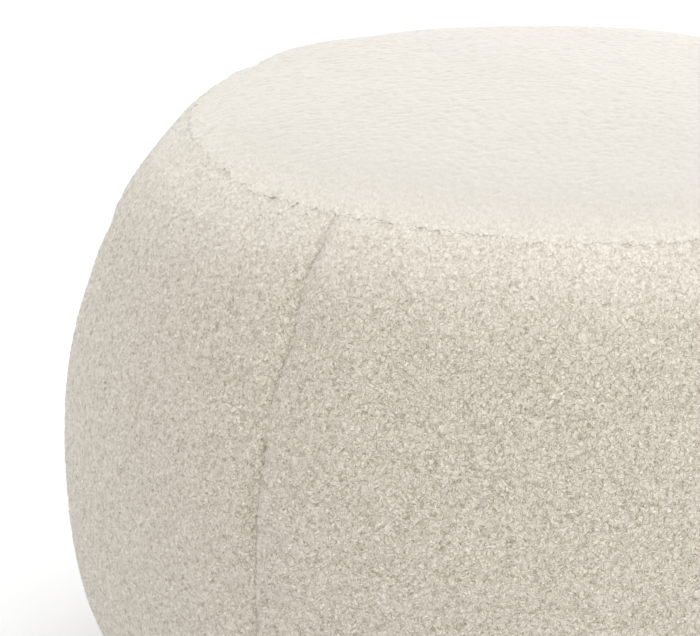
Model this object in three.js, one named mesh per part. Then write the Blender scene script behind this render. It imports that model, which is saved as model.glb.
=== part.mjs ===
// A round, stuffed ottoman for the floor, sewn from a round top panel, six upright side panels and
// a round base panel. Sizes are in millimetres, +Z is up, and the origin is the middle of the
// base, on the floor.
//
// The stuffed body is one closed form divided along its seams. Each solid is one panel with the
// filling behind it: its outer face is the cloth, and its walls run from the seams in to the heart
// of the body. The surface is the outside of the curly pile.

import * as THREE from "three";

// ---- Driving dimensions ----

const RADIUS = 277; // of the side at its widest level, on the seams
const WIDEST_LEVEL = 168; // height of the widest level
const HEIGHT = 355; // floor to the middle of the top
const SEAM_GAP = 0.3; // between neighbouring solids

const SIDE_PANELS = 6;
const FIRST_SEAM = THREE.MathUtils.degToRad(-124.5); // plan angle of an upright seam, from +X

// The side's profile leaves each round seam at a slope and swings through the widest level. A reach
// is how far the curve holds a direction before it bends.
const TOP_SEAM = { radius: 214, height: 339, slope: THREE.MathUtils.degToRad(49), reach: 48 };
const BASE_SEAM = { radius: 211, height: 6, slope: THREE.MathUtils.degToRad(34), reach: 56 };
const UPPER_REACH = 69;
const LOWER_REACH = 97;

const PANEL_PUFF = 3.2; // fullness of a side panel, midway between its seams
const SEAM_DEPTH = 3; // how far a seam draws the cloth in
const SEAM_SPREAD = 13; // distance from a seam over which the cloth recovers
const CROWN_POWER = 7; // how late the top panel falls away towards its seam
const BASE_FLAT = 0.86; // share of the base panel's radius that lies flat on the floor

// The top seam wanders up and down the shoulder: each row is one wave round the body.
const SEAM_WAVES = [
  { size: 1.5, turns: 7, peak: THREE.MathUtils.degToRad(-110) },
  { size: 0.8, turns: 3, peak: THREE.MathUtils.degToRad(40) },
];

// ---- Fineness of the faceted surface ----

const PANEL_COLUMNS = 16;
const PANEL_ROWS = 22;
const TOP_RINGS = 9;
const BASE_EDGE_RINGS = 4;
const EDGE_CROWDING = 0.65; // 0 spaces rows evenly, 1 crowds them hard against the seams
const RING_CROWDING = 1.8; // 1 spaces the top panel's rings evenly, more crowds them to its seam

const CREAM_CLOTH = { color: 0xe4ddcf, roughness: 0.95, metalness: 0 };

const HALF_PANEL = Math.PI / SIDE_PANELS;
const HEART = new THREE.Vector3(0, 0, WIDEST_LEVEL);

// ---- Shape of the body ----

/** Distance that the top seam sits further in and up than its mean line, at a plan angle. */
function seamWander(angle) {
  const waves = SEAM_WAVES.map(({ size, turns, peak }) => size * Math.cos(turns * (angle - peak)));
  return waves.reduce((sum, wave) => sum + wave, 0);
}

/** Profile of the side at a plan angle, as (radius, height) from the base seam to the top seam. */
function sideProfile(angle) {
  const wander = seamWander(angle);
  const topRadius = TOP_SEAM.radius - wander * Math.cos(TOP_SEAM.slope);
  const topHeight = TOP_SEAM.height + wander * Math.sin(TOP_SEAM.slope);
  const profile = new THREE.Path();
  profile.moveTo(BASE_SEAM.radius, BASE_SEAM.height);
  profile.bezierCurveTo(
    BASE_SEAM.radius + BASE_SEAM.reach * Math.cos(BASE_SEAM.slope),
    BASE_SEAM.height + BASE_SEAM.reach * Math.sin(BASE_SEAM.slope),
    RADIUS,
    WIDEST_LEVEL - LOWER_REACH,
    RADIUS,
    WIDEST_LEVEL,
  );
  profile.bezierCurveTo(
    RADIUS,
    WIDEST_LEVEL + UPPER_REACH,
    topRadius + TOP_SEAM.reach * Math.cos(TOP_SEAM.slope),
    topHeight - TOP_SEAM.reach * Math.sin(TOP_SEAM.slope),
    topRadius,
    topHeight,
  );
  return profile;
}

/** How far the cloth is drawn in, given its distances from the seams around it. */
function drawnIn(distances) {
  const clear = distances.reduce((product, distance) => {
    return product * (1 - Math.exp(-((distance / SEAM_SPREAD) ** 2)));
  }, 1);
  return SEAM_DEPTH * (1 - clear);
}

/**
 * Point of the side as (radius, height). `across` runs from -1 to 1 between a panel's upright
 * seams, and `rise` from 0 at the base seam to 1 at the top seam.
 */
function sideOutline(profile, across, rise) {
  const spot = profile.getPoint(rise);
  const tangent = profile.getTangent(rise);
  const length = profile.getLength();
  const toUpright = spot.x * HALF_PANEL * (1 - Math.abs(across));
  const puff = PANEL_PUFF * Math.sin(Math.PI * rise) * Math.cos((Math.PI / 2) * across) ** 2;
  const offset = puff - drawnIn([toUpright, length * rise, length * (1 - rise)]);
  return new THREE.Vector2(spot.x + tangent.y * offset, spot.y - tangent.x * offset);
}

/** Point of the top panel, `share` of the way from its middle to the top seam. */
function topOutline(seam, share) {
  return new THREE.Vector2(seam.x * share, HEIGHT - (HEIGHT - seam.y) * share ** CROWN_POWER);
}

/** Point of the base panel, `share` of the way from its middle to the base seam. */
function baseOutline(seam, share) {
  const curl = Math.max(0, share - BASE_FLAT) / (1 - BASE_FLAT);
  return new THREE.Vector2(seam.x * share, seam.y * curl ** 2);
}

/** A (radius, height) pair turned to a plan angle. */
function turned(outline, angle) {
  return new THREE.Vector3(outline.x * Math.cos(angle), outline.x * Math.sin(angle), outline.y);
}

// ---- Spacing of the facets ----

/** Steps from -1 to 1, crowded towards both ends, where the seams are. */
function crowdedSteps(count) {
  return Array.from({ length: count + 1 }, (_, i) => {
    const even = (2 * i) / count - 1;
    return (1 - EDGE_CROWDING) * even + EDGE_CROWDING * Math.sin((Math.PI / 2) * even);
  });
}

const ACROSS_STEPS = crowdedSteps(PANEL_COLUMNS);
const RISE_STEPS = crowdedSteps(PANEL_ROWS).map((step) => (step + 1) / 2);

/** Plan angle of the middle of a side panel, counted from 0. */
function panelMiddle(index) {
  return FIRST_SEAM + HALF_PANEL * (2 * index + 1);
}

/** Plan angles and panel positions right round the body, each upright seam once. */
function stepsAround() {
  const steps = [];
  for (let index = 0; index < SIDE_PANELS; index++) {
    for (const across of ACROSS_STEPS.slice(0, -1)) {
      steps.push({ angle: panelMiddle(index) + HALF_PANEL * across, across });
    }
  }
  return steps;
}

// ---- Solids ----

/**
 * Mesh of the closed solid between an outer face and the heart of the body. `loop` lists the
 * points round the outer face's rim, anticlockwise as seen from outside.
 */
function solidToHeart(name, points, triangles, loop) {
  const heart = points.length;
  const walls = loop.map((from, i) => [loop[(i + 1) % loop.length], from, heart]);
  const geometry = new THREE.BufferGeometry().setFromPoints([...points, HEART]);
  geometry.setIndex([...triangles, ...walls].flat());
  geometry.computeVertexNormals();
  const mesh = new THREE.Mesh(geometry, new THREE.MeshStandardMaterial(CREAM_CLOTH));
  mesh.name = name;
  return mesh;
}

/** One upright side panel, moved out along its own middle to open the seam gap. */
function sidePanel(index) {
  const middle = panelMiddle(index);
  const profiles = ACROSS_STEPS.map((across) => sideProfile(middle + HALF_PANEL * across));
  const width = ACROSS_STEPS.length;
  const points = RISE_STEPS.flatMap((rise) => {
    return ACROSS_STEPS.map((across, column) => {
      return turned(sideOutline(profiles[column], across, rise), middle + HALF_PANEL * across);
    });
  });
  const triangles = [];
  for (let row = 0; row < PANEL_ROWS; row++) {
    for (let column = 0; column < PANEL_COLUMNS; column++) {
      const corner = row * width + column;
      triangles.push([corner, corner + 1, corner + width + 1]);
      triangles.push([corner, corner + width + 1, corner + width]);
    }
  }
  const lastRow = PANEL_ROWS * width;
  const columns = Array.from({ length: PANEL_COLUMNS }, (_, i) => i);
  const rows = Array.from({ length: PANEL_ROWS }, (_, i) => i);
  const loop = [
    ...columns,
    ...rows.map((row) => row * width + PANEL_COLUMNS),
    ...columns.map((column) => lastRow + PANEL_COLUMNS - column),
    ...rows.map((row) => lastRow - row * width),
  ];
  const mesh = solidToHeart(`side_panel_${index + 1}`, points, triangles, loop);
  mesh.position.set(SEAM_GAP * Math.cos(middle), SEAM_GAP * Math.sin(middle), SEAM_GAP);
  return mesh;
}

/** A round panel from its middle out to a round seam, facing up or down. */
function roundPanel(name, shares, rise, outline, facesUp) {
  const around = stepsAround();
  const count = around.length;
  const seams = around.map(({ angle, across }) => sideOutline(sideProfile(angle), across, rise));
  const points = shares.flatMap((share) => {
    return around.map(({ angle }, i) => turned(outline(seams[i], share), angle));
  });
  const middle = points.length;
  points.push(turned(outline(seams[0], 0), 0));
  const triangles = [];
  for (let i = 0; i < count; i++) {
    const next = (i + 1) % count;
    triangles.push([middle, i, next]);
    for (let ring = 0; ring < shares.length - 1; ring++) {
      const inner = ring * count;
      const outer = inner + count;
      triangles.push([inner + i, outer + i, outer + next]);
      triangles.push([inner + i, outer + next, inner + next]);
    }
  }
  const rim = around.map((_, i) => (shares.length - 1) * count + i);
  if (facesUp) {
    return solidToHeart(name, points, triangles, rim);
  }
  const reversed = triangles.map(([a, b, c]) => [a, c, b]);
  return solidToHeart(name, points, reversed, rim.reverse());
}

/** The round top panel, with rings crowded towards the seam. */
function topPanel() {
  const shares = Array.from({ length: TOP_RINGS }, (_, i) => {
    return 1 - ((TOP_RINGS - 1 - i) / TOP_RINGS) ** RING_CROWDING;
  });
  const mesh = roundPanel("top_panel", shares, 1, topOutline, true);
  mesh.position.z = 2 * SEAM_GAP;
  return mesh;
}

/** The round base panel: flat on the floor, then curling up to its seam. */
function basePanel() {
  const edge = Array.from({ length: BASE_EDGE_RINGS + 1 }, (_, i) => {
    return BASE_FLAT + ((1 - BASE_FLAT) * i) / BASE_EDGE_RINGS;
  });
  return roundPanel("base_panel", [BASE_FLAT / 2, ...edge], 0, baseOutline, false);
}

/** The whole ottoman. */
function roundOttoman() {
  const ottoman = new THREE.Group();
  ottoman.add(basePanel());
  for (let index = 0; index < SIDE_PANELS; index++) {
    ottoman.add(sidePanel(index));
  }
  ottoman.add(topPanel());
  return ottoman;
}

export default roundOttoman();
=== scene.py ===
"""Looks of the round ottoman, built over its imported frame, in metres with +Z up.

The stuffed body is one closed form divided along its seams into a round top panel, six upright side
panels and a round base panel. Each panel is a closed padded piece: its outer face is the curly pile
cloth, and its walls run from the seams in to the heart of the body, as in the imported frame.
"""

import sys
import logging
import math
from dataclasses import dataclass, field, replace
from enum import Enum, IntEnum
from functools import cached_property

import bpy
import numpy as np
from mathutils import Euler, Matrix, Vector


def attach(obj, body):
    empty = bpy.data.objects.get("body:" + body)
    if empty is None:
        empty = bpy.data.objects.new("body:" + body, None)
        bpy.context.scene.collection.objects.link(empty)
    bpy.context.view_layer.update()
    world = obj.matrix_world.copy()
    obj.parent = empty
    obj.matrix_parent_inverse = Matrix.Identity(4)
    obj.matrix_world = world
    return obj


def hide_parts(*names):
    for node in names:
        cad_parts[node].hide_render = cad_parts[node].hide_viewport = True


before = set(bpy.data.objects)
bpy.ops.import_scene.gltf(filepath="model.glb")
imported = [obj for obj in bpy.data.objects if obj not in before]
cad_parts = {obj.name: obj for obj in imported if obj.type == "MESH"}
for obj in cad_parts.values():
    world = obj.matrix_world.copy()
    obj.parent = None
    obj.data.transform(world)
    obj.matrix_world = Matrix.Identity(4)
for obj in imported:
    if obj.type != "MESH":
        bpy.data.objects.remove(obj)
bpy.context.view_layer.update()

MM = 0.001
BODY = "root"
STEP_GROWTH = 1.35

Triple = tuple[float, float, float]
Colour = tuple[float, float, float, float]

log = logging.getLogger("round_ottoman")


class Seed(IntEnum):
    """Seeds of the noises, one for each use; along seams the next number serves too."""

    LUMPS = 1
    SMALL_LUMPS = 2
    UNEVEN_SEAMS = 3
    CURL_BEND = 4
    CURLS = 5
    CLUMP_BEND = 6
    CLUMPS = 7
    LEAN = 8
    SIDE_STUFFING = 31
    TOP_STUFFING = 32
    ROUND_SEAMS = 51
    UPRIGHT_SEAMS = 53


# ---- Repeatable noise, as whole arrays ----


def scattered(cells: np.ndarray, seed: int) -> np.ndarray:
    """Three random numbers for each cell of a lattice, the same on every run.

    The cell's whole numbers and the seed are multiplied by large odd numbers, added, and stirred by
    shifts and products; three runs of 21 bits of the result give the three numbers.

    Args:
        cells: Whole-numbered cells, with x, y and z along the last axis.
        seed: Chooses one of many independent sets.

    Returns:
        Numbers from 0 to 1, three along the last axis.
    """
    whole = cells.astype(np.int64).view(np.uint64)
    stirred = whole[..., 0] * np.uint64(0x9E3779B97F4A7C15)
    stirred += whole[..., 1] * np.uint64(0xC2B2AE3D27D4EB4F)
    stirred += whole[..., 2] * np.uint64(0x165667B19E3779F9)
    stirred += np.uint64((seed * 0x27D4EB2F165667C5) & 0xFFFFFFFFFFFFFFFF)
    for factor in (0xFF51AFD7ED558CCD, 0xC4CEB9FE1A85EC53):
        stirred ^= stirred >> np.uint64(33)
        stirred *= np.uint64(factor)
    stirred ^= stirred >> np.uint64(33)
    low = np.uint64(0x1FFFFF)
    parts = [(stirred >> np.uint64(shift)) & low for shift in (0, 21, 42)]
    return np.stack(parts, axis=-1).astype(np.float64) / float(0x1FFFFF)


def drift(points: np.ndarray, size: float, seed: int) -> np.ndarray:
    """Three smooth noises at each point, each from -1 to 1.

    Random numbers stand on a cubic lattice, and each point takes a blend of its cell's eight
    corners, weighted by 6t^5 - 15t^4 + 10t^3 of its place in the cell.

    Args:
        points: Places, with x, y and z along the last axis.
        size: Side of a lattice cell, in metres.
        seed: Chooses one of many independent noises.

    Returns:
        Array like points.
    """
    scaled = points / size
    corner = np.floor(scaled)
    part = scaled - corner
    fade = part**3 * (part * (part * 6 - 15) + 10)
    total = np.zeros_like(points)
    for step in np.ndindex(2, 2, 2):
        weight = np.prod(np.where(np.array(step) == 1, fade, 1 - fade), axis=-1)
        total += weight[..., None] * scattered(corner + np.array(step), seed)
    return 2 * total - 1


def tufts(points: np.ndarray, size: float, seed: int) -> tuple[np.ndarray, np.ndarray]:
    """Rounded tufts packed side by side, each about a scattered centre.

    A tuft's height is 1 less the squared distance to its centre in units of the lattice, so tufts
    meet in creases half way between their centres.

    Args:
        points: Places, with x, y and z along the last axis.
        size: Mean distance between centres, in metres.
        seed: Chooses one of many independent layouts.

    Returns:
        Height from 0 to 1, and a random number from 0 to 1 that is the same all over a tuft.
    """
    scaled = points / size
    home = np.floor(scaled)
    nearest = np.full(points.shape[:-1], np.inf)
    label = np.zeros(points.shape[:-1])
    for step in np.ndindex(3, 3, 3):
        cell = home + np.array(step) - 1
        centre = scattered(cell, seed)
        distance = np.sum((cell + centre - scaled) ** 2, axis=-1)
        closer = distance < nearest
        nearest = np.where(closer, distance, nearest)
        label = np.where(closer, centre[..., 0], label)
    return np.clip(1 - nearest, 0, 1), label


# ---- Small geometry ----


def bell(distance: np.ndarray, width: np.ndarray | float) -> np.ndarray:
    """Bell curve of a distance: 1 at no distance and 1/e at the width."""
    return np.exp(-((distance / width) ** 2))


def turned(outline: np.ndarray, angle: np.ndarray) -> np.ndarray:
    """Points in space of (radius, height) pairs turned to plan angles."""
    radius, height = outline[..., 0], outline[..., 1]
    return np.stack([radius * np.cos(angle), radius * np.sin(angle), height], axis=-1)


def plan_angle(points: np.ndarray) -> np.ndarray:
    """Angles of points in plan, from +X."""
    return np.arctan2(points[..., 1], points[..., 0])


def grid_normals(points: np.ndarray) -> np.ndarray:
    """Unit normals of a grid of points: the cross product of its column and row directions.

    Args:
        points: Points, rows by columns by three.

    Returns:
        Array like points.
    """
    along = np.gradient(points, axis=1)
    up = np.gradient(points, axis=0)
    normal = np.cross(along, up)
    return normal / np.maximum(np.linalg.norm(normal, axis=-1, keepdims=True), 1e-12)


def graded_steps(length: float, coarse: float, fine: float, both_ends: bool) -> np.ndarray:
    """Places along a line, in steps that grow in proportion from fine ones at its end.

    Args:
        length: Length of the line.
        coarse: Step away from the ends.
        fine: Step at the last end.
        both_ends: Whether the first end has fine steps too.

    Returns:
        Shares of the line from 0 to 1.
    """
    count = math.ceil(math.log(coarse / fine) / math.log(STEP_GROWTH))
    edge = fine * STEP_GROWTH ** np.arange(count)
    middle = length - edge.sum() * (2 if both_ends else 1)
    even = np.full(max(1, round(middle / coarse)), coarse)
    steps = np.concatenate([edge, even, edge[::-1]] if both_ends else [even, edge[::-1]])
    places = np.concatenate([[0], np.cumsum(steps)])
    return places / places[-1]


def sampled(grid: np.ndarray, row: np.ndarray, column: np.ndarray) -> np.ndarray:
    """Smooth values between the numbers of a grid whose columns run right round the body.

    Four rows by four columns are blended with Catmull-Rom weights, which pass through the grid's
    own numbers. Rows stop at the first and last, and columns go round.

    Args:
        grid: Numbers, rows by columns.
        row: Places down the rows, in steps of the grid.
        column: Places along the columns, in steps of the grid.

    Returns:
        A value for each place.
    """
    first_row, first_column = np.floor(row).astype(int), np.floor(column).astype(int)

    def weights(t: np.ndarray) -> tuple[np.ndarray, ...]:
        """Shares of four neighbours, by the Catmull-Rom formula.

        Args:
            t: Places from 0 to 1 between the middle two.

        Returns:
            The four shares.
        """
        return (
            t * (t * (2 - t) - 1) / 2,
            (t * t * (3 * t - 5) + 2) / 2,
            t * (t * (4 - 3 * t) + 1) / 2,
            t * t * (t - 1) / 2,
        )

    total = np.zeros(np.broadcast(row, column).shape)
    for i, down in enumerate(weights(row - first_row)):
        rows = np.clip(first_row + i - 1, 0, grid.shape[0] - 1)
        for j, along in enumerate(weights(column - first_column)):
            total += down * along * grid[rows, (first_column + j - 1) % grid.shape[1]]
    return total


def mesh_piece(name: str, points: np.ndarray, faces: list[np.ndarray]) -> bpy.types.Object:
    """Makes a smooth-shaded mesh object at the origin.

    Args:
        name: Name of the object and its mesh.
        points: Points, one a row.
        faces: Arrays of faces, one a row, each array with its own number of corners.

    Returns:
        The object, linked to the scene.
    """
    mesh = bpy.data.meshes.new(name)
    corners = np.concatenate([f.ravel() for f in faces]).astype(np.int32)
    sizes = np.concatenate([np.full(f.shape[0], f.shape[1]) for f in faces]).astype(np.int32)
    starts = np.concatenate([[0], np.cumsum(sizes)[:-1]]).astype(np.int32)
    mesh.vertices.add(points.shape[0])
    mesh.vertices.foreach_set("co", points.astype(np.float32).ravel())
    mesh.loops.add(corners.size)
    mesh.loops.foreach_set("vertex_index", corners)
    mesh.polygons.add(sizes.size)
    mesh.polygons.foreach_set("loop_start", starts)
    mesh.polygons.foreach_set("loop_total", sizes)
    mesh.polygons.foreach_set("use_smooth", np.ones(sizes.size, dtype=bool))
    mesh.update(calc_edges=True)
    mesh.validate()
    piece = bpy.data.objects.new(name, mesh)
    bpy.context.scene.collection.objects.link(piece)
    return piece


def mark_sharp(mesh: bpy.types.Mesh, loop: np.ndarray) -> None:
    """Makes the edges round a loop of points sharp, so that a rim's two sides shade apart.

    Args:
        mesh: The mesh.
        loop: Numbers of the loop's points, in order.
    """
    ends = np.empty(len(mesh.edges) * 2, dtype=np.int32)
    mesh.edges.foreach_get("vertices", ends)
    pairs = np.sort(ends.reshape(-1, 2), axis=1).astype(np.int64)
    around = np.sort(np.stack([loop, np.roll(loop, -1)], axis=-1), axis=1).astype(np.int64)
    count = len(mesh.vertices)
    sharp = np.isin(pairs @ (count, 1), around @ (count, 1))
    mesh.attributes.new("sharp_edge", "BOOLEAN", "EDGE").data.foreach_set("value", sharp)


# ---- Form of the stuffed body ----


@dataclass(frozen=True)
class Swell:
    """How far the stuffing has pushed the cloth out from the level of its seams.

    Attributes:
        start: Plan angle of the first column; the columns go right round in even steps.
        side: Distance along the side's normal, in even rows from the base seam to the top seam.
        top: Height added to the top, in even rings from its middle to its seam.
    """

    start: float
    side: np.ndarray
    top: np.ndarray

    def _at(self, grid: np.ndarray, angle: np.ndarray, share: np.ndarray) -> np.ndarray:
        """Values of a grid at plan angles and shares of the way down its rows."""
        column = (angle - self.start) / (2 * np.pi) * grid.shape[1]
        return sampled(grid, share * (grid.shape[0] - 1), column)

    def on_side(self, angle: np.ndarray, rise: np.ndarray) -> np.ndarray:
        """Distance out from the side's smooth profile."""
        return self._at(self.side, angle, rise)

    def on_top(self, angle: np.ndarray, share: np.ndarray) -> np.ndarray:
        """Height above the top's smooth crown."""
        return self._at(self.top, angle, share)


@dataclass(frozen=True)
class RoundSeam:
    """A seam right round the body, and the curve in which the side leaves it.

    Attributes:
        radius: Distance of the seam from the body's axis.
        height: Height of the seam above the floor.
        slope: Slope of the side at the seam, in degrees.
        reach: How far the side holds that slope before it bends.
    """

    radius: float
    height: float
    slope: float
    reach: float

    def bend(self, way: int) -> tuple[float, float]:
        """Control point of the side next to the seam, a reach along its slope.

        Args:
            way: 1 where the side lies above the seam, and -1 where it lies below.

        Returns:
            The point as (radius, height).
        """
        slope = math.radians(self.slope)
        out, up = self.reach * math.cos(slope), self.reach * math.sin(slope)
        return self.radius + out, self.height + way * up


@dataclass(frozen=True)
class SeamWave:
    """One cosine wave of the top seam round the body.

    Attributes:
        size: How far it rises and falls.
        turns: Number of its waves round the body.
        peak: Plan angle of a peak.
    """

    size: float
    turns: int
    peak: float


@dataclass(frozen=True)
class SeamKink:
    """A kink of the upright seams, as the distance that they sit further round.

    It is the lean and one short cosine wave, which dies away in a bell curve from its peak.

    Attributes:
        lean: How far the whole seam sits round.
        size: How far its wave goes.
        peak: Height of the wave's peak.
        length: Length of the wave.
        spread: Distance from the peak over which it dies away.
    """

    lean: float
    size: float
    peak: float
    length: float
    spread: float

    def at(self, height: np.ndarray) -> np.ndarray:
        """Distances at heights.

        Args:
            height: Heights above the floor.

        Returns:
            Distances round the body.
        """
        off = height - self.peak
        wave = np.cos(2 * np.pi * off / self.length) * bell(off, self.spread)
        return self.lean + self.size * wave


@dataclass(frozen=True)
class StuffedForm:
    """The closed form of the body, without its pile: a barrel side, a crowned top and a flat base.

    Angles in plan are in radians from +X, and `across` runs from -1 to 1 between a side panel's
    upright seams. `rise` runs from 0 at the base seam to 1 at the top seam, along the surface.

    Attributes:
        radius: Radius at the widest level, on the seams.
        widest_level: Height of the widest level.
        height: Floor to the middle of the top, before its swell.
        side_panels: Number of side panels.
        first_seam: Plan angle of an upright seam.
        top_seam: The seam of the top panel.
        base_seam: The seam of the base panel.
        upper_reach: How far above the widest level the side holds upright.
        lower_reach: How far below it the side does.
        panel_puff: Fullness of a side panel where no swell is given.
        round_depth: How far a round seam draws the cloth in.
        round_spread: Distance from it over which the cloth recovers.
        upright_depth: How far an upright seam draws the cloth in.
        upright_spread: Distance from it over which the cloth recovers.
        crown_power: How late the top falls away towards its seam.
        base_flat: Share of the base's radius that lies flat on the floor.
        stray: How far a round seam strays among the curls.
        stray_sizes: Sizes of the broad and of the fine noise by which it strays.
        stray_fine: Share of the fine one.
        stray_spread: Distance from a seam over which the cloth strays with it.
        upright_calm: Share of that with which an upright seam strays.
        upright_fade: Height over which it begins to, from the base seam up.
        kink: Kink of the upright seams.
        waves: Waves in which the top seam wanders up and down the shoulder.
        swell: How far the stuffing has pushed the cloth out, once that is known.
    """

    radius: float = 277 * MM
    widest_level: float = 168 * MM
    height: float = 355 * MM
    side_panels: int = 6
    first_seam: float = math.radians(-124.5)
    top_seam: RoundSeam = RoundSeam(214 * MM, 339 * MM, 49, 48 * MM)
    base_seam: RoundSeam = RoundSeam(211 * MM, 6 * MM, 34, 56 * MM)
    upper_reach: float = 69 * MM
    lower_reach: float = 97 * MM
    panel_puff: float = 3.2 * MM
    round_depth: float = 3.0 * MM
    round_spread: float = 17 * MM
    upright_depth: float = 2.5 * MM
    upright_spread: float = 9.0 * MM
    crown_power: float = 7.5
    base_flat: float = 0.86
    stray: float = 1.6 * MM
    stray_sizes: tuple[float, float] = (4.5 * MM, 2.2 * MM)
    stray_fine: float = 0.6
    stray_spread: float = 5 * MM
    upright_calm: float = 0.3
    upright_fade: float = 60 * MM
    kink: SeamKink = SeamKink(-0.8 * MM, 2.2 * MM, 274 * MM, 64 * MM, 42 * MM)
    waves: tuple[SeamWave, ...] = (
        SeamWave(1.5 * MM, 7, math.radians(-110)),
        SeamWave(0.8 * MM, 3, math.radians(40)),
    )
    swell: Swell | None = None

    @property
    def half_panel(self) -> float:
        """Half the plan angle of a side panel."""
        return math.pi / self.side_panels

    @property
    def heart(self) -> np.ndarray:
        """Point inside the body where the walls between the panels meet."""
        return np.array([0.0, 0.0, self.widest_level])

    def panel_middle(self, index: int) -> float:
        """Plan angle of the middle of a side panel, counted from 0."""
        return self.first_seam + self.half_panel * (2 * index + 1)

    def across_at(self, angle: np.ndarray) -> np.ndarray:
        """Place between the upright seams, from -1 to 1, at plan angles."""
        turns = (angle - self.first_seam) / (2 * self.half_panel)
        return 2 * (turns - np.floor(turns)) - 1

    def wander(self, angle: np.ndarray) -> np.ndarray:
        """How far the top seam sits in and up from its mean line: the sum of its cosine waves."""
        return sum(w.size * np.cos(w.turns * (angle - w.peak)) for w in self.waves)

    @cached_property
    def _controls(self) -> np.ndarray:
        """Control points of the side's two cubic curves, which share the middle one.

        Returns:
            Seven points as (radius, height), from the base seam up.
        """
        top, base, level = self.top_seam, self.base_seam, self.widest_level
        lower = [(base.radius, base.height), base.bend(1), (self.radius, level - self.lower_reach)]
        upper = [(self.radius, level + self.upper_reach), top.bend(-1), (top.radius, top.height)]
        return np.array([*lower, (self.radius, level), *upper])

    @staticmethod
    def _blend(step: np.ndarray) -> np.ndarray:
        """Shares of the seven control points, by the cubic Bezier formula.

        Args:
            step: Steps, from 0 to 1 along the lower curve and on to 2 along the upper one.

        Returns:
            Seven shares for each step, along the last axis.
        """
        upper = step >= 1
        t = np.where(upper, step - 1, step)
        cubic = np.stack([(1 - t) ** 3, 3 * t * (1 - t) ** 2, 3 * t**2 * (1 - t), t**3], axis=-1)
        shares = np.zeros(step.shape + (7,))
        shares[..., :4] = np.where(upper[..., None], 0, cubic)
        shares[..., 3:] += np.where(upper[..., None], cubic, 0)
        return shares

    @cached_property
    def _arc(self) -> tuple[np.ndarray, np.ndarray]:
        """Distance along the mean profile at closely spaced steps, and those steps.

        Returns:
            The distances, which are sums of short chords, and the steps.
        """
        steps = np.linspace(0, 2, 1201)
        points = self._blend(steps) @ self._controls
        lengths = np.linalg.norm(np.diff(points, axis=0), axis=1)
        return np.concatenate([[0], np.cumsum(lengths)]), steps

    @property
    def side_length(self) -> float:
        """Distance up the side, from the base seam to the top seam."""
        return float(self._arc[0][-1])

    def side_profile(self, angle: np.ndarray, rise: np.ndarray) -> tuple[np.ndarray, np.ndarray]:
        """Smooth profile of the side, before its panels puff out.

        The last two control points move in and up together by the seam's wander.

        Args:
            angle: Plan angles.
            rise: Places up the side.

        Returns:
            Points and outward normals, each as (radius, height).
        """
        distances, steps = self._arc
        step = np.interp(rise, distances / distances[-1], steps)
        slope = math.radians(self.top_seam.slope)
        moved = self.wander(angle)[..., None] * np.array([-math.cos(slope), math.sin(slope)])

        def at(place: np.ndarray) -> np.ndarray:
            """Points of the profile at steps along its two curves."""
            shares = self._blend(np.clip(place, 0, 2))
            return shares @ self._controls + shares[..., 5:].sum(-1)[..., None] * moved

        tangent = at(step + 1e-4) - at(step - 1e-4)
        tangent /= np.linalg.norm(tangent, axis=-1, keepdims=True)
        return at(step), np.stack([tangent[..., 1], -tangent[..., 0]], axis=-1)

    def seam_tangent(self, angle: np.ndarray, rise: float) -> np.ndarray:
        """Direction up the side's profile at a round seam, as (radius, height)."""
        normal = self.side_profile(angle, np.full_like(angle, rise))[1]
        return np.stack([-normal[..., 1], normal[..., 0]], axis=-1)

    def _wobble(self, spot: np.ndarray, seed: int) -> np.ndarray:
        """Noise along a seam: a broad one and a share of a finer one."""
        broad, fine = (drift(spot, size, seed + i) for i, size in enumerate(self.stray_sizes))
        return (broad + self.stray_fine * fine)[..., 0]

    def round_stray(self, angle: np.ndarray, rise: float) -> np.ndarray:
        """How far a round seam strays up the surface among the curls, by noise along it."""
        spot = self.radius * np.stack([np.cos(angle), np.sin(angle), 1.0 + rise + 0 * angle], -1)
        return self.stray * self._wobble(spot, Seed.ROUND_SEAMS)

    def upright_stray(self, seam: np.ndarray, height: np.ndarray) -> np.ndarray:
        """How far an upright seam strays round the body among the curls.

        It is the kink and noise up the seam, and both fade to nothing at the base seam.

        Args:
            seam: Numbers of the seams, counted round the body.
            height: Heights above the floor.

        Returns:
            Distances round the body.
        """
        spot = np.stack([seam % self.side_panels + 0 * height, 0 * height, height], axis=-1)
        ends = np.clip((height - self.base_seam.height) / self.upright_fade, 0, 1)
        among_curls = self.upright_calm * self.stray * self._wobble(spot, Seed.UPRIGHT_SEAMS)
        return (self.kink.at(height) + among_curls) * ends

    def astray(
        self, points: np.ndarray, tangent: np.ndarray, seam: np.ndarray, rise: float
    ) -> np.ndarray:
        """Points near a round seam, carried along with it.

        Args:
            points: Points of a panel.
            tangent: Direction up the side's profile at the seam, as (radius, height), per point.
            seam: Distance of each point to the seam.
            rise: 0 for the base seam and 1 for the top seam.

        Returns:
            The moved points.
        """
        angle = plan_angle(points)
        share = bell(seam, self.stray_spread) * self.round_stray(angle, rise)
        return points + turned(tangent * share[..., None], angle)

    def seam_distances(
        self, across: np.ndarray, rise: np.ndarray, radius: np.ndarray
    ) -> np.ndarray:
        """Distances over the side to the seams round a panel.

        Args:
            across: Places between the upright seams.
            rise: Places up the side.
            radius: Distances from the body's axis.

        Returns:
            Distances to the upright, base and top seams, along the last axis.
        """
        upright = radius * self.half_panel * (1 - np.abs(across))
        return np.stack(
            [upright, self.side_length * rise, self.side_length * (1 - rise)], axis=-1
        )

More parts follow.
